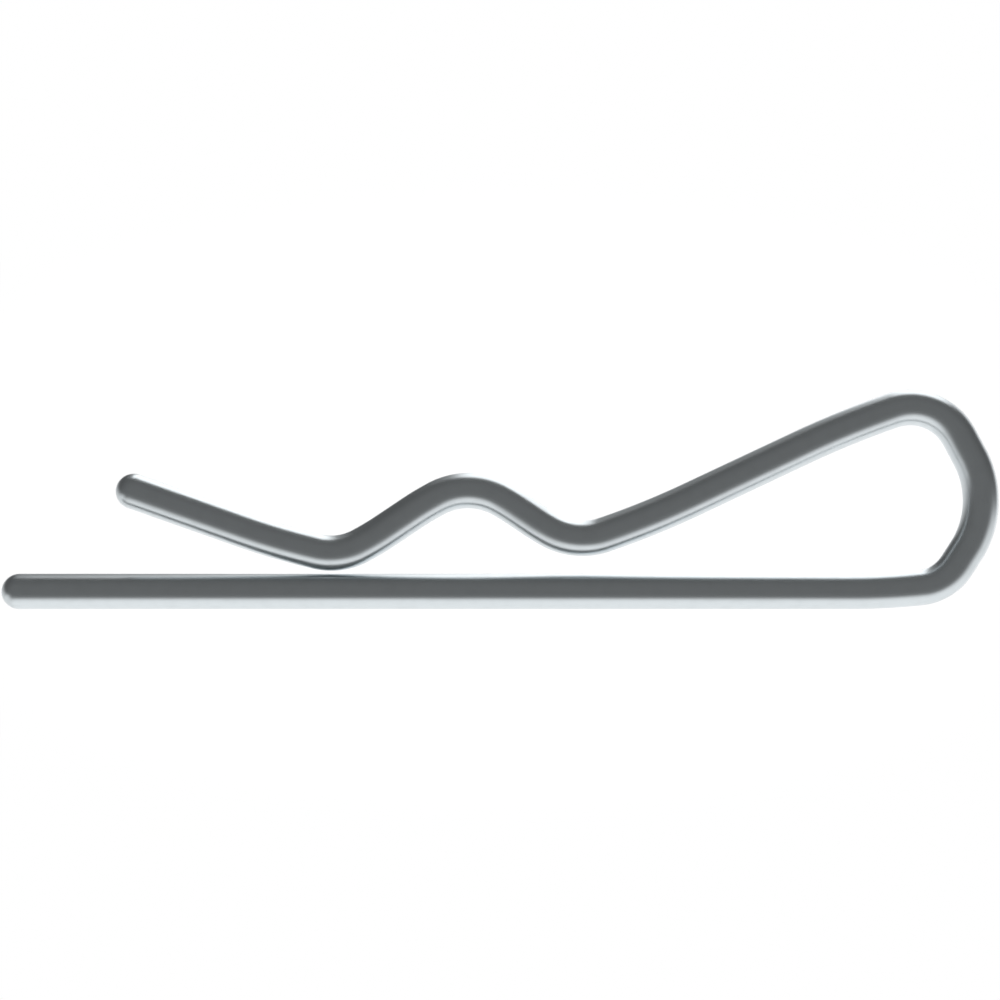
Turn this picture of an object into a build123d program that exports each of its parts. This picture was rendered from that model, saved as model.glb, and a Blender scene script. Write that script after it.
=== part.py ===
from build123d import *
from math import atan2, cos, degrees, radians, sin, sqrt
import os

# Hitch pin R clip: one length of round spring wire, bent in one plane, with domed ends.
# It lies flat. The straight leg runs along X, the head loop is at +X and both free ends are at -X.
# The origin is on the surface that the clip lies on, under the middle of its outline.
# Lengths are in millimetres, slopes and turns in degrees.

# Wire
wire_diameter = 3.175  # 1/8 inch
wire_radius = wire_diameter / 2

# Hitch pin that the clip locks: the leg goes through its cross hole, the saddle snaps over its outside
hitch_pin_diameter = 15.875  # 5/8 inch
saddle_grip = 0.42  # how far the relaxed saddle lies inside the pin's surface

# Easing: beside each bend the wire springs back into a gentler arc before it runs straight
ease_turn = 6.0
ease_share = 0.4  # of the straight run that would join two bends with no easing

# Leg, straight from its tip to the head loop
overall_length = 90.0  # leg's tip to the far side of the head
heel_lead = 6.5  # end of the leg that eases up into the heel

# Head loop, from the leg up to the arm
heel_radius = 4.4
heel_slope = 57.4  # rise of the short run between heel and crown
crown_rise = 8.2  # leg to the widest point of the crown
crown_radius = 8.5
brow_slope = 62.0  # rise of the short run between crown and top
top_rise = 8.4  # widest point of the crown to the top
top_radius = 5.0

# Arm, a long straight run that bows gently where it leaves the head and where it nears the valley
shoulder_turn = 6.2
shoulder_share = 0.32  # of the arm's length
throat_turn = 6.4
throat_share = 0.31  # of the arm's length

# Waves of the arm: valley, saddle and elbow
valley_radius = 6.1
valley_gap = 1.62  # clear space between valley and leg
valley_slope = 33.7  # rise of the run between valley and saddle
saddle_radius = 6.1
saddle_setback = 47.9  # far side of the head to the middle of the saddle
elbow_slope = 33.8  # fall of the run between saddle and elbow
elbow_radius = 5.6
elbow_gap = 0.28  # clear space between elbow and leg

# Tail, turned up to lead the hitch pin in
tail_slope = 19.4
tail_length = 17.4  # from the elbow's bend to the dome

# Heights of the wire's centre line above the leg's
saddle_height = hitch_pin_diameter / 2 - saddle_grip + wire_radius
valley_height = wire_diameter + valley_gap
elbow_height = wire_diameter + elbow_gap
top_height = crown_rise + top_rise


def slope_cos(slope):
    return cos(radians(slope))


def slope_sin(slope):
    return sin(radians(slope))


def cheek(rise, level_radius, slope):
    """Side of the head, from the level point of its bend to the upright point of the crown.

    Gives the radius of its easing, its straight run and its reach along the leg.
    """
    plain_rise = level_radius * (1 - slope_cos(slope)) + crown_radius * slope_cos(slope)
    plain_run = (rise - plain_rise) / slope_sin(slope)
    ease_radius = ease_share * plain_run / radians(ease_turn)
    before = slope - ease_turn
    after = slope + ease_turn
    bend_rise = level_radius * (1 - slope_cos(before)) + crown_radius * slope_cos(after)
    bend_rise += ease_radius * (slope_cos(before) - slope_cos(after))
    bend_reach = level_radius * slope_sin(before) + crown_radius * (1 - slope_sin(after))
    bend_reach += ease_radius * (slope_sin(after) - slope_sin(before))
    run = (rise - bend_rise) / slope_sin(slope)
    return ease_radius, run, bend_reach + run * slope_cos(slope)


def flank(rise, low_radius, slope):
    """Side of the saddle, from the level point of a lower bend to that of the saddle.

    Gives the radius of its easing, its straight run and its reach along the leg.
    """
    radii = low_radius + saddle_radius
    plain_run = (rise - radii * (1 - slope_cos(slope))) / slope_sin(slope)
    ease_radius = ease_share * plain_run / radians(ease_turn)
    before = slope - ease_turn
    bend_rise = radii * (1 - slope_cos(before)) + 2 * ease_radius * (slope_cos(before) - slope_cos(slope))
    bend_reach = radii * slope_sin(before) + 2 * ease_radius * (slope_sin(slope) - slope_sin(before))
    run = (rise - bend_rise) / slope_sin(slope)
    return ease_radius, run, bend_reach + run * slope_cos(slope)


# Head, measured back from its far side
head_place = overall_length - wire_radius
lead_radius = heel_lead / radians(ease_turn)
lead_swing = lead_radius - heel_radius
lead_rise = lead_swing * (1 - slope_cos(ease_turn))
heel_ease, heel_run, heel_reach = cheek(crown_rise - lead_rise, heel_radius, heel_slope)
leg_end_place = head_place - heel_reach - lead_swing * slope_sin(ease_turn)
brow_ease, brow_run, brow_reach = cheek(top_rise, top_radius, brow_slope)
top_place = head_place - brow_reach

# Waves, measured back from the far side of the head
saddle_place = overall_length - saddle_setback
valley_ease, valley_run, valley_reach = flank(saddle_height - valley_height, valley_radius, valley_slope)
valley_place = saddle_place + valley_reach
elbow_ease, elbow_run, _ = flank(saddle_height - elbow_height, elbow_radius, elbow_slope)
tail_ease = ease_share * tail_length / radians(ease_turn)
tail_run = tail_length - ease_share * tail_length

# Arm, from the centre of the top bend to the centre of the valley bend.
# Its length is that of the straight line which touches both bends.
# The two bows shift it sideways and shorten it, and what is left is its straight run and its slope.
arm_span = top_place - valley_place
arm_drop = top_height - top_radius - valley_height - valley_radius
arm_length = sqrt(arm_span**2 + arm_drop**2 - (top_radius + valley_radius) ** 2)
shoulder_radius = shoulder_share * arm_length / radians(shoulder_turn)
throat_radius = throat_share * arm_length / radians(throat_turn)
shoulder_swing = shoulder_radius - top_radius
throat_swing = throat_radius - valley_radius
arm_offset = shoulder_radius - shoulder_swing * slope_cos(shoulder_turn)
arm_offset += throat_radius - throat_swing * slope_cos(throat_turn)
arm_reach = sqrt(arm_span**2 + arm_drop**2 - arm_offset**2)
arm_run = arm_reach - shoulder_swing * slope_sin(shoulder_turn) - throat_swing * slope_sin(throat_turn)
arm_slope = degrees(atan2(arm_drop, arm_span) + atan2(arm_offset, arm_reach))

# What is left of each bend's turn once its easing is taken off
half_turn = 180
heel_turn = heel_slope - 2 * ease_turn
crown_turn = half_turn - heel_slope - brow_slope - 2 * ease_turn
top_turn = brow_slope - ease_turn + arm_slope - shoulder_turn
valley_turn = arm_slope - throat_turn + valley_slope - ease_turn
saddle_turn = valley_slope + elbow_slope - 2 * ease_turn
elbow_turn = elbow_slope + tail_slope - 2 * ease_turn

# The wire as it is bent, in order: each arc's radius and turn, positive to the left, and the run after it
arcs = [
    (lead_radius, ease_turn, 0),
    (heel_radius, heel_turn, 0),
    (heel_ease, ease_turn, heel_run),
    (heel_ease, ease_turn, 0),
    (crown_radius, crown_turn, 0),
    (brow_ease, ease_turn, brow_run),
    (brow_ease, ease_turn, 0),
    (top_radius, top_turn, 0),
    (shoulder_radius, shoulder_turn, arm_run),
    (throat_radius, -throat_turn, 0),
    (valley_radius, -valley_turn, 0),
    (valley_ease, -ease_turn, valley_run),
    (valley_ease, ease_turn, 0),
    (saddle_radius, saddle_turn, 0),
    (elbow_ease, ease_turn, elbow_run),
    (elbow_ease, -ease_turn, 0),
    (elbow_radius, -elbow_turn, 0),
    (tail_ease, -ease_turn, tail_run),
]


def centre_line():
    """The wire's centre line, from the end of the leg to the end of the tail."""
    pieces = [Line((wire_radius, 0), (leg_end_place, 0))]
    for radius, turn, run in arcs:
        arc = JernArc(pieces[-1] @ 1, pieces[-1] % 1, radius, turn)
        pieces.append(arc)
        if run:
            pieces.append(PolarLine(arc @ 1, run, direction=arc % 1))
    return Wire(pieces)


def end_dome(point, outward):
    """Half ball on a cut end of the wire."""
    half_ball = Sphere(wire_radius, arc_size1=0, align=(Align.CENTER, Align.CENTER, Align.MIN))
    return Plane(origin=point, z_dir=outward) * half_ball


def r_clip():
    """The bent wire with both ends domed, laid flat with its outline centred on the origin."""
    line = centre_line()
    section = Plane(origin=line @ 0, z_dir=line % 0) * Circle(wire_radius)
    wire = sweep(section, path=line)
    wire += end_dome(line @ 0, -(line % 0))
    wire += end_dome(line @ 1, line % 1)
    return Pos(-overall_length / 2, -top_height / 2, wire_radius) * wire


os.makedirs("parts", exist_ok=True)
clip = r_clip()
clip.label = "r_clip"
export_step(clip, "parts/r_clip.step")
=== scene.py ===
from collections import namedtuple
from math import atan2, ceil, cos, pi, radians, sin, sqrt

import bmesh
import bpy
from bpy.props import FloatProperty, FloatVectorProperty, IntProperty, PointerProperty
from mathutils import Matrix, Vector


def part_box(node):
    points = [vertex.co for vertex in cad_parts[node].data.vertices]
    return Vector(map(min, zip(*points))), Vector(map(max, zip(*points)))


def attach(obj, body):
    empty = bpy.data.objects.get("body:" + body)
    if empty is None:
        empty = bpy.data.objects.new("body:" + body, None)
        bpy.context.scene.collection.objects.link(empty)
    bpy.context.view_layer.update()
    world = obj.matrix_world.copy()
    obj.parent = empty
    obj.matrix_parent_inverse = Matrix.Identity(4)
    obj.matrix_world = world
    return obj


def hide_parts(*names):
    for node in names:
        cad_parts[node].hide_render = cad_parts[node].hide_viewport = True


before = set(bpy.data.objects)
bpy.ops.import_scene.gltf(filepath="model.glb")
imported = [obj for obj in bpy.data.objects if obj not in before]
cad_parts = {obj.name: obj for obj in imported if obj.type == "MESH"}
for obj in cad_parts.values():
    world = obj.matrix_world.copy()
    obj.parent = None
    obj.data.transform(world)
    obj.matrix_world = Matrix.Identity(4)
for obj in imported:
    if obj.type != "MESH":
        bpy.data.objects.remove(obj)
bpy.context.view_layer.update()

bl_info = {
    "name": "Hitch Pin R Clip",
    "version": (1, 0, 0),
    "blender": (4, 5, 0),
    "location": "3D View > Sidebar > R Clip",
    "description": "Bends a hitch pin clip from round spring wire and sets it in a studio",
    "category": "Add Mesh",
}

NODE = "r_clip"
BODY = "root"
PIECE = "r_clip_wire"

# Most by which the bent wire may leave the solid's box, as a share of the wire's diameter
BOX_SLACK_SHARE = 1 / 60

# Nearest that the camera sees, in metres
NEAREST_SEEN = 0.01

clip_low, clip_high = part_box(NODE)


# Sizes and colours that a user would change


def length(name, description, default):
    """A length in metres."""
    return FloatProperty(
        name=name, description=description, default=default, min=0.0, precision=5, unit="LENGTH"
    )


def angle(name, description, degrees):
    """An angle, with its default in degrees."""
    return FloatProperty(name=name, description=description, default=radians(degrees), subtype="ANGLE")


def share(name, description, default, top=1.0):
    """A plain share or brightness."""
    return FloatProperty(
        name=name, description=description, default=default, min=0.0, max=top, subtype="FACTOR"
    )


def colour(name, description, default):
    """A colour."""
    return FloatVectorProperty(
        name=name, description=description, default=default, size=3, min=0.0, max=1.0, subtype="COLOR"
    )


class WireSizes(bpy.types.PropertyGroup):
    """Sizes of the bent wire."""

    wire_diameter: length("Wire Diameter", "Thickness of the round wire", clip_high.z - clip_low.z)
    overall_length: length(
        "Overall Length", "Tip of the leg to the far side of the head", clip_high.x - clip_low.x
    )
    hitch_pin_diameter: length("Hitch Pin", "Diameter of the pin that the clip locks", 0.015875)
    saddle_grip: length("Saddle Grip", "How far the relaxed saddle lies inside the pin's surface", 0.00042)
    ease_turn: angle("Ease Turn", "Turn of the gentle arc beside each bend", 6.0)
    ease_share: share("Ease Share", "Share of a straight run that the gentle arcs take", 0.4)
    heel_lead: length("Heel Lead", "End of the leg that eases up into the heel", 0.0065)
    heel_radius: length("Heel Radius", "Bend between leg and head", 0.0044)
    heel_slope: angle("Heel Slope", "Rise of the run between heel and crown", 57.4)
    crown_rise: length("Crown Rise", "Leg to the widest point of the crown", 0.0082)
    crown_radius: length("Crown Radius", "Bend at the far side of the head", 0.0085)
    brow_slope: angle("Brow Slope", "Rise of the run between crown and top", 62.0)
    top_rise: length("Top Rise", "Widest point of the crown to the top", 0.0084)
    top_radius: length("Top Radius", "Bend between head and arm", 0.005)
    shoulder_turn: angle("Shoulder Turn", "Bow of the arm beside the head", 6.2)
    shoulder_share: share("Shoulder Share", "Share of the arm that the shoulder's bow takes", 0.32)
    throat_turn: angle("Throat Turn", "Bow of the arm beside the valley", 6.4)
    throat_share: share("Throat Share", "Share of the arm that the throat's bow takes", 0.31)
    valley_radius: length("Valley Radius", "Bend between arm and saddle", 0.0061)
    valley_gap: length("Valley Gap", "Clear space between valley and leg", 0.00162)
    valley_slope: angle("Valley Slope", "Rise of the run between valley and saddle", 33.7)
    saddle_radius: length("Saddle Radius", "Bend that sits on the pin", 0.0061)
    saddle_setback: length("Saddle Setback", "Far side of the head to the middle of the saddle", 0.0479)
    elbow_slope: angle("Elbow Slope", "Fall of the run between saddle and elbow", 33.8)
    elbow_radius: length("Elbow Radius", "Bend between saddle and tail", 0.0056)
    elbow_gap: length("Elbow Gap", "Clear space between elbow and leg", 0.00028)
    tail_slope: angle("Tail Slope", "Rise of the tail towards its tip", 19.4)
    tail_length: length("Tail Length", "From the elbow's bend to the dome", 0.0174)
    sides: IntProperty(name="Sides", description="Faces round the wire", default=64, min=12, max=160)
    bend_step: angle("Bend Step", "Most turn between two rings of the wire", 1.6)
    run_step: length("Run Step", "Most length between two rings of the wire", 0.0009)
    dome_rings: IntProperty(
        name="Dome Rings", description="Rings of each domed end", default=16, min=4, max=48
    )


class SteelLook(bpy.types.PropertyGroup):
    """Finish of the bright plated wire."""

    bright: colour("Bright", "Plating where it is clean and smooth", (0.69, 0.738, 0.76))
    dull: colour("Dull", "Plating where it is a little dulled", (0.665, 0.711, 0.732))
    roughness: share("Roughness", "Gloss of the plating", 0.3)
    roughness_swing: share("Roughness Swing", "How much the gloss varies", 0.06)
    line_width: length("Line Width", "Width of the lines that the drawing die leaves", 0.00011)
    line_length: length("Line Length", "Length of the lines that the drawing die leaves", 0.014)
    line_depth: length("Line Depth", "Depth of the lines that the drawing die leaves", 0.0000003)
    mottle: length("Mottle", "Size of the faint patches in the plating", 0.0012)


class StudioSetup(bpy.types.PropertyGroup):
    """Floor, surround, lamp and camera."""

    view_width: length("View Width", "Width of the picture at the wire's centre line", 0.09033)
    lens: FloatProperty(
        name="Lens", description="Focal length in millimetres", default=88.0, min=1.0, unit="CAMERA"
    )
    aim: FloatVectorProperty(
        name="Aim",
        description="Point of the lying plane that the picture's centre shows",
        default=(-0.000012, -0.000042),
        size=2,
        unit="LENGTH",
    )
    floor_half: length("Floor Half Width", "Half the width of the floor", 1.5)
    floor_tone: colour("Floor", "Pale floor under the clip", (0.95, 0.95, 0.95))
    floor_white: share("Floor White", "Share of plain white in the floor close to the clip", 0.55)
    shadow_along: length("Shadow Along", "How far along the clip the floor keeps its shadow", 0.049)
    shadow_across: length("Shadow Across", "How far across the clip the floor keeps its shadow", 0.021)
    overhead: share("Overhead", "Grey above the clip", 0.172)
    dome: share("Dome", "Brightness of the wide dome in front of the clip", 0.91)
    front: share("Front Panel", "Brightness of the panel in front of the clip", 1.08, 2.0)
    below: share("Below", "Brightness of what the clip's underside shows", 1.08, 2.0)
    panel: share("Back Panel", "Brightness of the panel low behind the clip", 1.64, 2.0)
    fill: share("Fill", "Plain light from all round on the floor", 0.06)
    key: share("Key", "Plain light of the lamp on the floor", 1.08, 2.0)
    key_width: length("Key Width", "Width of the lamp, which stands at the lens", 0.024)


# Shader maths


class Term:
    """One output of a node, on which Python's operators add Math nodes."""

    def __init__(self, net, socket):
        self.net = net
        self.socket = socket

    def out(self, name):
        """Another output of the same node."""
        return Term(self.net, self.socket.node.outputs[name])

    def calc(self, operation, a, b):
        """A Math node on two terms or numbers."""
        return self.net.node("ShaderNodeMath", {"operation": operation}, {0: a, 1: b})

    def __add__(self, other):
        return self.calc("ADD", self, other)

    def __radd__(self, other):
        return self.calc("ADD", other, self)

    def __sub__(self, other):
        return self.calc("SUBTRACT", self, other)

    def __rsub__(self, other):
        return self.calc("SUBTRACT", other, self)

    def __mul__(self, other):
        return self.calc("MULTIPLY", self, other)

    def __rmul__(self, other):
        return self.calc("MULTIPLY", other, self)

    def __or__(self, other):
        return self.calc("MAXIMUM", self, other)

    def __ror__(self, other):
        return self.calc("MAXIMUM", other, self)


class Net:
    """The node tree of a material or of the world."""

    def __init__(self, owner):
        owner.use_nodes = True
        self.tree = owner.node_tree
        self.tree.nodes.clear()

    def node(self, kind, settings=None, inputs=None):
        """Adds a node, sets its settings, then gives its inputs their values or links."""
        made = self.tree.nodes.new(kind)
        for name, value in (settings or {}).items():
            setattr(made, name, value)
        for key, value in (inputs or {}).items():
            if isinstance(value, Term):
                self.tree.links.new(value.socket, made.inputs[key])
            else:
                made.inputs[key].default_value = value
        return Term(self, made.outputs[0]) if made.outputs else None

    def scaled(self, vector, factors):
        """A vector times three plain factors."""
        return self.node("ShaderNodeVectorMath", {"operation": "MULTIPLY"}, {0: vector, 1: factors})

    def along(self, vector, direction):
        """How far a vector points in a direction."""
        dot = self.node("ShaderNodeVectorMath", {"operation": "DOT_PRODUCT"}, {0: vector, 1: direction})
        return dot.out("Value")

    def size_of(self, vector):
        """How long a vector is."""
        return self.node("ShaderNodeVectorMath", {"operation": "LENGTH"}, {0: vector}).out("Value")

    def ease(self, value, low, high):
        """0 below low, 1 above high and a smooth step between them."""
        inputs = {"Value": value, "From Min": low, "From Max": high}
        return self.node("ShaderNodeMapRange", {"interpolation_type": "SMOOTHSTEP"}, inputs)

    def blend(self, factor, a, b):
        """A colour between a and b. The Mix node's sockets share names, so these go by number."""
        mix = self.node("ShaderNodeMix", {"data_type": "RGBA"}, {0: factor, 6: a, 7: b})
        return Term(self, mix.socket.node.outputs[2])

    def noise(self, vector, detail, roughness):
        """Even noise with cells one unit wide."""
        inputs = {"Vector": vector, "Scale": 1.0, "Detail": detail, "Roughness": roughness}
        return self.node("ShaderNodeTexNoise", None, inputs)


def shade(tone):
    """A plain colour as a node takes it."""
    return (*tone, 1.0)


# Bends of the wire


def cheek(sizes, rise, level_radius, slope):
    """Side of the head: the radius of its easing, its straight run and its reach along the leg."""
    plain_rise = level_radius * (1 - cos(slope)) + sizes.crown_radius * cos(slope)
    ease_radius = sizes.ease_share * (rise - plain_rise) / sin(slope) / sizes.ease_turn
    before = slope - sizes.ease_turn
    after = slope + sizes.ease_turn
    bend_rise = level_radius * (1 - cos(before)) + sizes.crown_radius * cos(after)
    bend_rise += ease_radius * (cos(before) - cos(after))
    bend_reach = level_radius * sin(before) + sizes.crown_radius * (1 - sin(after))
    bend_reach += ease_radius * (sin(after) - sin(before))
    run = (rise - bend_rise) / sin(slope)
    return ease_radius, run, bend_reach + run * cos(slope)


def flank(sizes, rise, low_radius, slope):
    """Side of the saddle: the radius of its easing, its straight run and its reach along the leg."""
    radii = low_radius + sizes.saddle_radius
    ease_radius = sizes.ease_share * (rise - radii * (1 - cos(slope))) / sin(slope) / sizes.ease_turn
    before = slope - sizes.ease_turn
    bend_rise = radii * (1 - cos(before)) + 2 * ease_radius * (cos(before) - cos(slope))
    bend_reach = radii * sin(before) + 2 * ease_radius * (sin(slope) - sin(before))
    run = (rise - bend_rise) / sin(slope)
    return ease_radius, run, bend_reach + run * cos(slope)


def bends_of(sizes):
    """The straight leg's length, and each arc's radius, turn to the left and the run after it."""
    wire_radius = sizes.wire_diameter / 2
    ease = sizes.ease_turn
    head_place = sizes.overall_length - wire_radius
    saddle_height = sizes.hitch_pin_diameter / 2 - sizes.saddle_grip + wire_radius
    valley_height = sizes.wire_diameter + sizes.valley_gap
    elbow_height = sizes.wire_diameter + sizes.elbow_gap

    # Head, measured back from its far side
    lead_radius = sizes.heel_lead / ease
    lead_swing = lead_radius - sizes.heel_radius
    heel_rise = sizes.crown_rise - lead_swing * (1 - cos(ease))
    heel_ease, heel_run, heel_reach = cheek(sizes, heel_rise, sizes.heel_radius, sizes.heel_slope)
    leg_run = head_place - heel_reach - lead_swing * sin(ease) - wire_radius
    brow_ease, brow_run, brow_reach = cheek(sizes, sizes.top_rise, sizes.top_radius, sizes.brow_slope)

    # Both sides of the saddle, and the tail
    valley_rise = saddle_height - valley_height
    valley_ease, valley_run, valley_reach = flank(
        sizes, valley_rise, sizes.valley_radius, sizes.valley_slope
    )
    elbow_rise = saddle_height - elbow_height
    elbow_ease, elbow_run, _ = flank(sizes, elbow_rise, sizes.elbow_radius, sizes.elbow_slope)
    tail_bow = sizes.ease_share * sizes.tail_length

    # Arm, from the centre of the top bend to the centre of the valley bend
    span = head_place - brow_reach - (sizes.overall_length - sizes.saddle_setback + valley_reach)
    drop = sizes.crown_rise + sizes.top_rise - sizes.top_radius - valley_height - sizes.valley_radius
    arm_length = sqrt(span**2 + drop**2 - (sizes.top_radius + sizes.valley_radius) ** 2)
    shoulder_radius = sizes.shoulder_share * arm_length / sizes.shoulder_turn
    throat_radius = sizes.throat_share * arm_length / sizes.throat_turn
    shoulder_swing = shoulder_radius - sizes.top_radius
    throat_swing = throat_radius - sizes.valley_radius
    offset = shoulder_radius - shoulder_swing * cos(sizes.shoulder_turn)
    offset += throat_radius - throat_swing * cos(sizes.throat_turn)
    reach = sqrt(span**2 + drop**2 - offset**2)
    arm_run = reach - shoulder_swing * sin(sizes.shoulder_turn) - throat_swing * sin(sizes.throat_turn)
    arm_slope = atan2(drop, span) + atan2(offset, reach)

    return leg_run, [
        (lead_radius, ease, 0),
        (sizes.heel_radius, sizes.heel_slope - 2 * ease, 0),
        (heel_ease, ease, heel_run),
        (heel_ease, ease, 0),
        (sizes.crown_radius, pi - sizes.heel_slope - sizes.brow_slope - 2 * ease, 0),
        (brow_ease, ease, brow_run),
        (brow_ease, ease, 0),
        (sizes.top_radius, sizes.brow_slope - ease + arm_slope - sizes.shoulder_turn, 0),
        (shoulder_radius, sizes.shoulder_turn, arm_run),
        (throat_radius, -sizes.throat_turn, 0),
        (sizes.valley_radius, -(arm_slope - sizes.throat_turn + sizes.valley_slope - ease), 0),
        (valley_ease, -ease, valley_run),
        (valley_ease, ease, 0),
        (sizes.saddle_radius, sizes.valley_slope + sizes.elbow_slope - 2 * ease, 0),
        (elbow_ease, ease, elbow_run),
        (elbow_ease, -ease, 0),
        (sizes.elbow_radius, -(sizes.elbow_slope + sizes.tail_slope - 2 * ease), 0),
        (tail_bow / ease, -ease, sizes.tail_length - tail_bow),
    ]


# Mesh of the wire


class Ring:
    """A ring of the wire: its centre, the way the wire heads there, and its place along the wire.

    The bend is the wire's radius over that of the bend it lies in, positive to the left.
    """

    def __init__(self, place, heading, along, radius, bend):
        self.place = place
        self.heading = heading
        self.along = along
        self.radius = radius
        self.bend = bend

    def forward(self):
        """The way the wire heads."""
        return Vector((cos(self.heading), sin(self.heading), 0.0))

    def left(self):
        """The way to the left of it."""
        return Vector((-sin(self.heading), cos(self.heading), 0.0))


def follow_wire(sizes):
    """The rings from the end of the leg to the end of the tail, each a short step from the last."""
    wire_radius = sizes.wire_diameter / 2
    leg_run, bends = bends_of(sizes)
    start = Vector((wire_radius, 0.0, 0.0))
    rings = [Ring(start, 0.0, 0.0, wire_radius, 0.0)]

    def run_on(run):
        """Goes straight on."""
        first = rings[-1]
        steps = ceil(run / sizes.run_step)
        for k in range(1, steps + 1):
            gone = run * k / steps
            place = first.place + first.forward() * gone
            rings.append(Ring(place, first.heading, first.along + gone, wire_radius, 0.0))

    def bend_on(radius, turn):
        """Goes on round an arc, to the left if its turn is positive."""
        first = rings[-1]
        side = 1 if turn > 0 else -1
        centre = first.place + first.left() * radius * side
        steps = max(ceil(abs(turn) / sizes.bend_step), ceil(abs(turn) * radius / sizes.run_step))
        for k in range(1, steps + 1):
            heading = first.heading + turn * k / steps
            ring = Ring(centre, heading, 0.0, wire_radius, side * wire_radius / radius)
            ring.place = centre - ring.left() * radius * side
            ring.along = first.along + abs(turn) * radius * k / steps
            rings.append(ring)

    run_on(leg_run)
    for radius, turn, run in bends:
        bend_on(radius, turn)
        if run:
            run_on(run)
    return rings


def domed(rings, dome_rings):
    """The rings with those of a half ball before the first and after the last."""

    def dome(end, side):
        """The rings of one half ball, from its rim towards its pole."""
        made = []
        for k in range(1, dome_rings):
            lift = pi / 2 * k / dome_rings
            place = end.place + end.forward() * end.radius * sin(lift) * side
            along = end.along + end.radius * lift * side
            made.append(Ring(place, end.heading, along, end.radius * cos(lift), 0.0))
        return made

    return dome(rings[0], -1)[::-1] + rings + dome(rings[-1], 1)


def wire_mesh(sizes):
    """The closed mesh of the bent wire, with its place along and round the wire kept at each point."""
    path = follow_wire(sizes)
    rings = domed(path, sizes.dome_rings)
    wire_radius = sizes.wire_diameter / 2
    top_height = sizes.crown_rise + sizes.top_rise
    shift = Vector((-sizes.overall_length / 2, -top_height / 2, wire_radius))
    up = Vector((0.0, 0.0, 1.0))
    sides = sizes.sides
    turns = [2 * pi * k / sides - pi / 2 for k in range(sides)]
    dome_arc = wire_radius * pi / 2
    first = path[0].along - dome_arc
    last = path[-1].along + dome_arc

    bm = bmesh.new()
    strip = bm.loops.layers.uv.new("wire_strip")
    points = []
    places = []
    bends = []
    for ring in rings:
        row = []
        for turn in turns:
            spot = ring.place + (ring.left() * cos(turn) + up * sin(turn)) * ring.radius + shift
            row.append(bm.verts.new(spot))
            places.append((cos(turn), sin(turn), ring.along))
            bends.append(ring.bend * cos(turn))
        points.append(row)
    poles = []
    for end, side, along in ((path[0], -1, first), (path[-1], 1, last)):
        poles.append(bm.verts.new(end.place + end.forward() * wire_radius * side + shift))
        places.append((0.0, 0.0, along))
        bends.append(0.0)

    def skin(corners, marks):
        """A smooth face, with each corner's place along and round the wire on the strip."""
        face = bm.faces.new(corners)
        face.smooth = True
        for loop, (along, turn) in zip(face.loops, marks):
            loop[strip].uv = ((along - first) / (last - first), turn)

    strips = [(k, (k + 1) % sides, k / sides, (k + 1) / sides) for k in range(sides)]
    for a in range(len(rings) - 1):
        here, there = rings[a].along, rings[a + 1].along
        for k, n, low, high in strips:
            corners = (points[a][k], points[a + 1][k], points[a + 1][n], points[a][n])
            skin(corners, ((here, low), (there, low), (there, high), (here, high)))
    near, far = rings[0].along, rings[-1].along
    for k, n, low, high in strips:
        middle = (low + high) / 2
        skin((poles[0], points[0][k], points[0][n]), ((first, middle), (near, low), (near, high)))
        skin((poles[1], points[-1][n], points[-1][k]), ((last, middle), (far, high), (far, low)))

    bm.normal_update()
    mesh = bpy.data.meshes.new(PIECE)
    bm.to_mesh(mesh)
    bm.free()
    place_marks = mesh.attributes.new("wire_place", "FLOAT_VECTOR", "POINT")
    place_marks.data.foreach_set("vector", [number for place in places for number in place])
    bend_marks = mesh.attributes.new("wire_bend", "FLOAT", "POINT")
    bend_marks.data.foreach_set("value", bends)
    return mesh


# Finish of the wire

# Detail and roughness of the noise behind each pattern
LINE_NOISE = (2.0, 0.5)
MOTTLE_NOISE = (3.0, 0.55)
GRAIN_NOISE = (1.0, 0.5)

# Grains to one patch of the mottle
GRAINS_PER_PATCH = 14

# What the lines and the grain add to the tone, the gloss and the relief. The rest is mottle, or lines.
TONE_LINES_SHARE = 0.3
GLOSS_LINES_SHARE = 0.35
GLOSS_GRAIN_SHARE = 0.15
RELIEF_GRAIN_SHARE = 0.2

# Tone at which the plating begins to dull and is dull, and the middle of the gloss
TONE_BAND = (0.42, 0.68)
MIDDLE_GLOSS = 0.5

# Outside of a bend: the stretch at which the plating begins to dull and is dull, and how far that goes
STRETCH_BAND = (0.05, 0.35)
STRETCH_DULL_SHARE = 0.4
STRETCH_ROUGHNESS = 0.03


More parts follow.
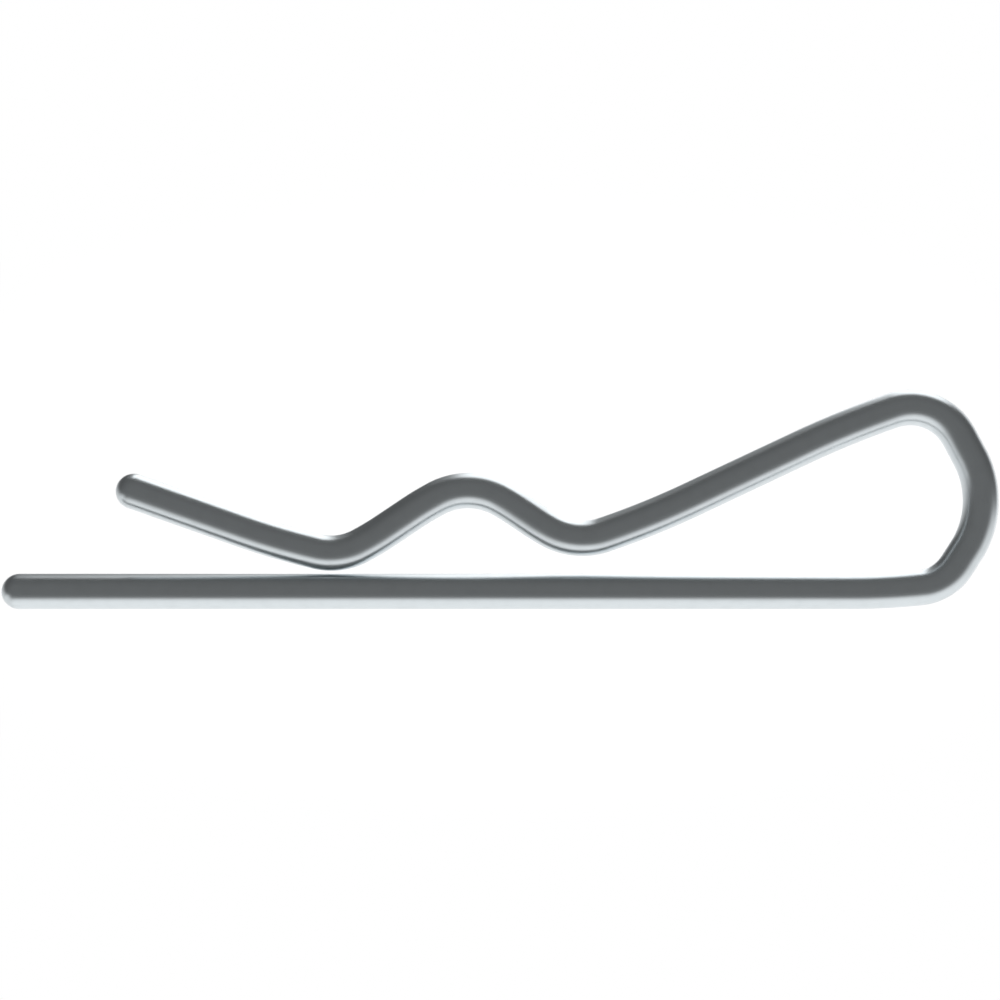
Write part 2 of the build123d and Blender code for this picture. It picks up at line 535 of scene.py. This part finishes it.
def plated_steel(look, sizes):
    """Bright plated spring steel, with the faint lines of the drawing die and a mottled gloss."""
    material = bpy.data.materials.new("bright_plated_steel")
    net = Net(material)
    wire_radius = sizes.wire_diameter / 2
    place = net.node("ShaderNodeAttribute", {"attribute_name": "wire_place"}).out("Vector")
    bend = net.node("ShaderNodeAttribute", {"attribute_name": "wire_bend"}).out("Fac")

    def pattern(width, along, noise):
        """Noise with cells of a width round the wire and of a length along it."""
        cells = wire_radius / width
        return net.noise(net.scaled(place, (cells, cells, 1 / along)), *noise)

    grain_size = look.mottle / GRAINS_PER_PATCH
    lines = pattern(look.line_width, look.line_length, LINE_NOISE)
    mottle = pattern(look.mottle, look.mottle, MOTTLE_NOISE)
    grain = pattern(grain_size, grain_size, GRAIN_NOISE)

    tone = mottle * (1 - TONE_LINES_SHARE) + lines * TONE_LINES_SHARE
    dulled = net.ease(tone, *TONE_BAND)
    stretched = net.ease(0 - bend, *STRETCH_BAND)
    gloss = mottle * (1 - GLOSS_LINES_SHARE - GLOSS_GRAIN_SHARE)
    gloss = gloss + lines * GLOSS_LINES_SHARE + grain * GLOSS_GRAIN_SHARE
    roughness = (gloss - MIDDLE_GLOSS) * (look.roughness_swing * 2) + look.roughness
    relief = lines * (1 - RELIEF_GRAIN_SHARE) + grain * RELIEF_GRAIN_SHARE
    bump = {"Strength": 1.0, "Distance": look.line_depth, "Height": relief}
    dullness = dulled | stretched * STRETCH_DULL_SHARE
    steel = net.node(
        "ShaderNodeBsdfPrincipled",
        None,
        {
            "Base Color": net.blend(dullness, shade(look.bright), shade(look.dull)),
            "Metallic": 1.0,
            "Roughness": roughness + stretched * STRETCH_ROUGHNESS,
            "Normal": net.node("ShaderNodeBump", None, bump),
        },
    )
    net.node("ShaderNodeOutputMaterial", None, {"Surface": steel})
    return material


def keep_to_box(mesh, slack):
    """Raises an error where the mesh reaches less or more far than the solid, beyond a slack."""
    for axis in range(3):
        spread = [vertex.co[axis] for vertex in mesh.vertices]
        if abs(min(spread) - clip_low[axis]) > slack or abs(max(spread) - clip_high[axis]) > slack:
            raise RuntimeError(f"the bent wire leaves the solid's box on axis {axis}")


class RCLIP_OT_bend_wire(bpy.types.Operator):
    """Bend the clip from one length of round wire"""

    bl_idname = "r_clip.bend_wire"
    bl_label = "Bend the Wire"
    bl_options = {"REGISTER", "UNDO"}

    def execute(self, context):
        sizes = context.scene.r_clip_wire
        mesh = wire_mesh(sizes)
        keep_to_box(mesh, sizes.wire_diameter * BOX_SLACK_SHARE)
        mesh.materials.append(plated_steel(context.scene.r_clip_steel, sizes))
        wire = bpy.data.objects.new(PIECE, mesh)
        context.scene.collection.objects.link(wire)
        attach(wire, BODY)
        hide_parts(NODE)
        return {"FINISHED"}


# Stage

# The floor is plain white from this many times as far out as the shadow is kept
SHADOW_FADE = 1.4

# A patch of the surround: the turn from +X and the lift above the floor of the way it lies, in degrees,
# and how nearly a ray heads that way, from -1 to 1, where the patch begins and where it is full
Patch = namedtuple("Patch", ("turn", "lift", "begins", "full"))

# How far down a ray heads, from -1 straight up to 1 straight down, where a patch begins and is full
Depths = namedtuple("Depths", ("begins", "full"))

# Wide dome in front of the clip
DOME = Patch(turn=261, lift=-34, begins=-0.13, full=0.77)
DOME_SIDES = Patch(turn=275, lift=0, begins=0.02, full=0.29)
DOME_SIDES_DEPTHS = Depths(begins=-0.82, full=-0.03)

# Panel in front of the clip
FRONT = Patch(turn=267, lift=1, begins=0.54, full=0.9)
FRONT_RIGHT = Patch(turn=298, lift=-7, begins=0.55, full=0.91)
FRONT_LOW = Patch(turn=272, lift=-40, begins=0.84, full=0.93)

# What the underside shows
BELOW = Patch(turn=315, lift=0, begins=-0.45, full=-0.05)
BELOW_DEPTHS = Depths(begins=0.24, full=0.84)
BELOW_RIGHT = Patch(turn=338, lift=-48, begins=0.78, full=0.98)

# Panel low behind the clip, cut off at both ends, with a dim stretch past its left end
BACK_RIGHT_END = Patch(turn=140.5, lift=0, begins=-0.035, full=0.035)
BACK_LEFT_END = Patch(turn=7.5, lift=0, begins=-0.1, full=0.1)
BACK_DIM_END = Patch(turn=34, lift=0, begins=-0.02, full=0.13)
BACK_DIM_SHARE = 0.135
BACK_DEPTHS = Depths(begins=0.13, full=0.17)

# Grey overhead: how far up a ray heads where the grey is darkest and where it is full,
# and its share where it is darkest
GREY_HEIGHTS = (-0.3, 1.0)
GREY_LOW_SHARE = 0.63

WHITE = (1.0, 1.0, 1.0)


def seen_rays(net):
    """1 for the camera's rays, and 1 for the rays in which metal or glass shows things."""
    rays = net.node("ShaderNodeLightPath")
    return rays.out("Is Camera Ray"), rays.out("Is Glossy Ray") | rays.out("Is Transmission Ray")


def pointing(turn, lift):
    """A direction from its turn from +X and its lift above the floor, in degrees."""
    flat = cos(radians(lift))
    return (flat * cos(radians(turn)), flat * sin(radians(turn)), sin(radians(lift)))


def pale_floor(studio):
    """White floor that keeps the clip's shadow close to it and is plain white further off."""
    material = bpy.data.materials.new("pale_floor")
    net = Net(material)
    camera, metal = seen_rays(net)
    spot = net.node("ShaderNodeNewGeometry").out("Position")
    off = net.size_of(net.scaled(spot, (1 / studio.shadow_along, 1 / studio.shadow_across, 0)))
    plain = net.ease(off, 1.0, SHADOW_FADE) * (1 - studio.floor_white) + studio.floor_white
    lit = net.node("ShaderNodeBsdfDiffuse", None, {"Color": shade(studio.floor_tone)})
    white = net.node("ShaderNodeEmission", None, {"Color": shade(WHITE), "Strength": 1.0})
    mixed = net.node("ShaderNodeMixShader", None, {0: (camera | metal) * plain, 1: lit, 2: white})
    net.node("ShaderNodeOutputMaterial", None, {"Surface": mixed})
    return material


def studio_surround(world, studio):
    """White to the camera. To the metal it is white in front, below and low behind, and grey above."""
    net = Net(world)
    camera, metal = seen_rays(net)
    ray = net.node("ShaderNodeTexCoord").out("Generated")
    height = net.along(ray, (0, 0, 1))
    depth = 0 - height

    def toward(patch):
        """1 for rays that head a patch's way, easing to 0 for those that head away from it."""
        return net.ease(net.along(ray, pointing(patch.turn, patch.lift)), patch.begins, patch.full)

    dome = toward(DOME) | toward(DOME_SIDES) * net.ease(depth, *DOME_SIDES_DEPTHS)
    front = toward(FRONT) | toward(FRONT_RIGHT) | toward(FRONT_LOW)
    below = toward(BELOW) * net.ease(depth, *BELOW_DEPTHS) | toward(BELOW_RIGHT)
    behind = toward(BACK_RIGHT_END) * net.ease(depth, *BACK_DEPTHS)
    behind = behind * (toward(BACK_LEFT_END) | toward(BACK_DIM_END) * BACK_DIM_SHARE)
    grey = net.ease(height, *GREY_HEIGHTS) * (1 - GREY_LOW_SHARE) + GREY_LOW_SHARE
    white = dome * studio.dome | front * studio.front | below * studio.below | behind * studio.panel
    shown = white | grey * studio.overhead
    strength = metal * shown + camera + (1 - (camera | metal)) * studio.fill
    light = net.node("ShaderNodeBackground", None, {"Color": shade(WHITE), "Strength": strength})
    net.node("ShaderNodeOutputWorld", None, {"Surface": light})


def lay_floor(scene, studio):
    """Lays the floor under the clip. The metal doesn't show it, but the surround below it."""
    half = studio.floor_half
    corners = [(-half, -half), (half, -half), (half, half), (-half, half)]
    bm = bmesh.new()
    bm.faces.new([bm.verts.new((x, y, 0.0)) for x, y in corners])
    mesh = bpy.data.meshes.new("floor")
    bm.to_mesh(mesh)
    bm.free()
    mesh.materials.append(pale_floor(studio))
    floor = bpy.data.objects.new("floor", mesh)
    floor.visible_glossy = False
    scene.collection.objects.link(floor)


def place_camera(scene, studio, level):
    """Places the camera to look straight down, with the view as wide as it should be at a level."""
    lens = bpy.data.cameras.new("camera")
    lens.lens = studio.lens
    lens.clip_start = NEAREST_SEEN
    camera = bpy.data.objects.new("camera", lens)
    height = studio.view_width * lens.lens / lens.sensor_width
    camera.location = (studio.aim[0], studio.aim[1], level + height)
    scene.collection.objects.link(camera)
    scene.camera = camera
    return camera


def hang_lamp(scene, studio, place):
    """Hangs a soft lamp at the lens, which lights the floor, so that its shadow lies behind the wire."""
    lamp = bpy.data.lights.new("key_lamp", "POINT")
    lamp.shadow_soft_size = studio.key_width / 2
    # This power lights the floor right below as a plain white surround of the same strength would
    lamp.energy = studio.key * (2 * pi * place.z) ** 2
    key = bpy.data.objects.new("key_lamp", lamp)
    key.location = place
    key.visible_glossy = False
    key.visible_camera = False
    scene.collection.objects.link(key)


class RCLIP_OT_set_stage(bpy.types.Operator):
    """Set the floor, the surround, the lamp and the camera"""

    bl_idname = "r_clip.set_stage"
    bl_label = "Set the Stage"
    bl_options = {"REGISTER", "UNDO"}

    def execute(self, context):
        scene = context.scene
        studio = scene.r_clip_studio
        lay_floor(scene, studio)
        scene.world = bpy.data.worlds.new("studio")
        studio_surround(scene.world, studio)
        camera = place_camera(scene, studio, scene.r_clip_wire.wire_diameter / 2)
        hang_lamp(scene, studio, camera.location)
        scene.view_settings.view_transform = "Standard"
        return {"FINISHED"}


# Sidebar and registration


class RCLIP_PT_sidebar(bpy.types.Panel):
    """The clip's steps and what can be changed in each"""

    bl_idname = "RCLIP_PT_sidebar"
    bl_label = "R Clip"
    bl_space_type = "VIEW_3D"
    bl_region_type = "UI"
    bl_category = "R Clip"

    def draw(self, context):
        scene = context.scene
        steps = (
            (RCLIP_OT_bend_wire, (scene.r_clip_wire, scene.r_clip_steel)),
            (RCLIP_OT_set_stage, (scene.r_clip_studio,)),
        )
        for step, groups in steps:
            box = self.layout.box()
            box.operator(step.bl_idname)
            column = box.column(align=True)
            for group in groups:
                for name in group.__annotations__:
                    column.prop(group, name)


GROUPS = (("r_clip_wire", WireSizes), ("r_clip_steel", SteelLook), ("r_clip_studio", StudioSetup))
CLASSES = (RCLIP_OT_bend_wire, RCLIP_OT_set_stage, RCLIP_PT_sidebar)


def register():
    for name, group in GROUPS:
        bpy.utils.register_class(group)
        setattr(bpy.types.Scene, name, PointerProperty(type=group))
    for made in CLASSES:
        bpy.utils.register_class(made)


def unregister():
    for made in reversed(CLASSES):
        bpy.utils.unregister_class(made)
    for name, group in reversed(GROUPS):
        delattr(bpy.types.Scene, name)
        bpy.utils.unregister_class(group)


def main():
    register()
    bpy.ops.r_clip.bend_wire()
    bpy.ops.r_clip.set_stage()


if __name__ == "__main__":
    main()
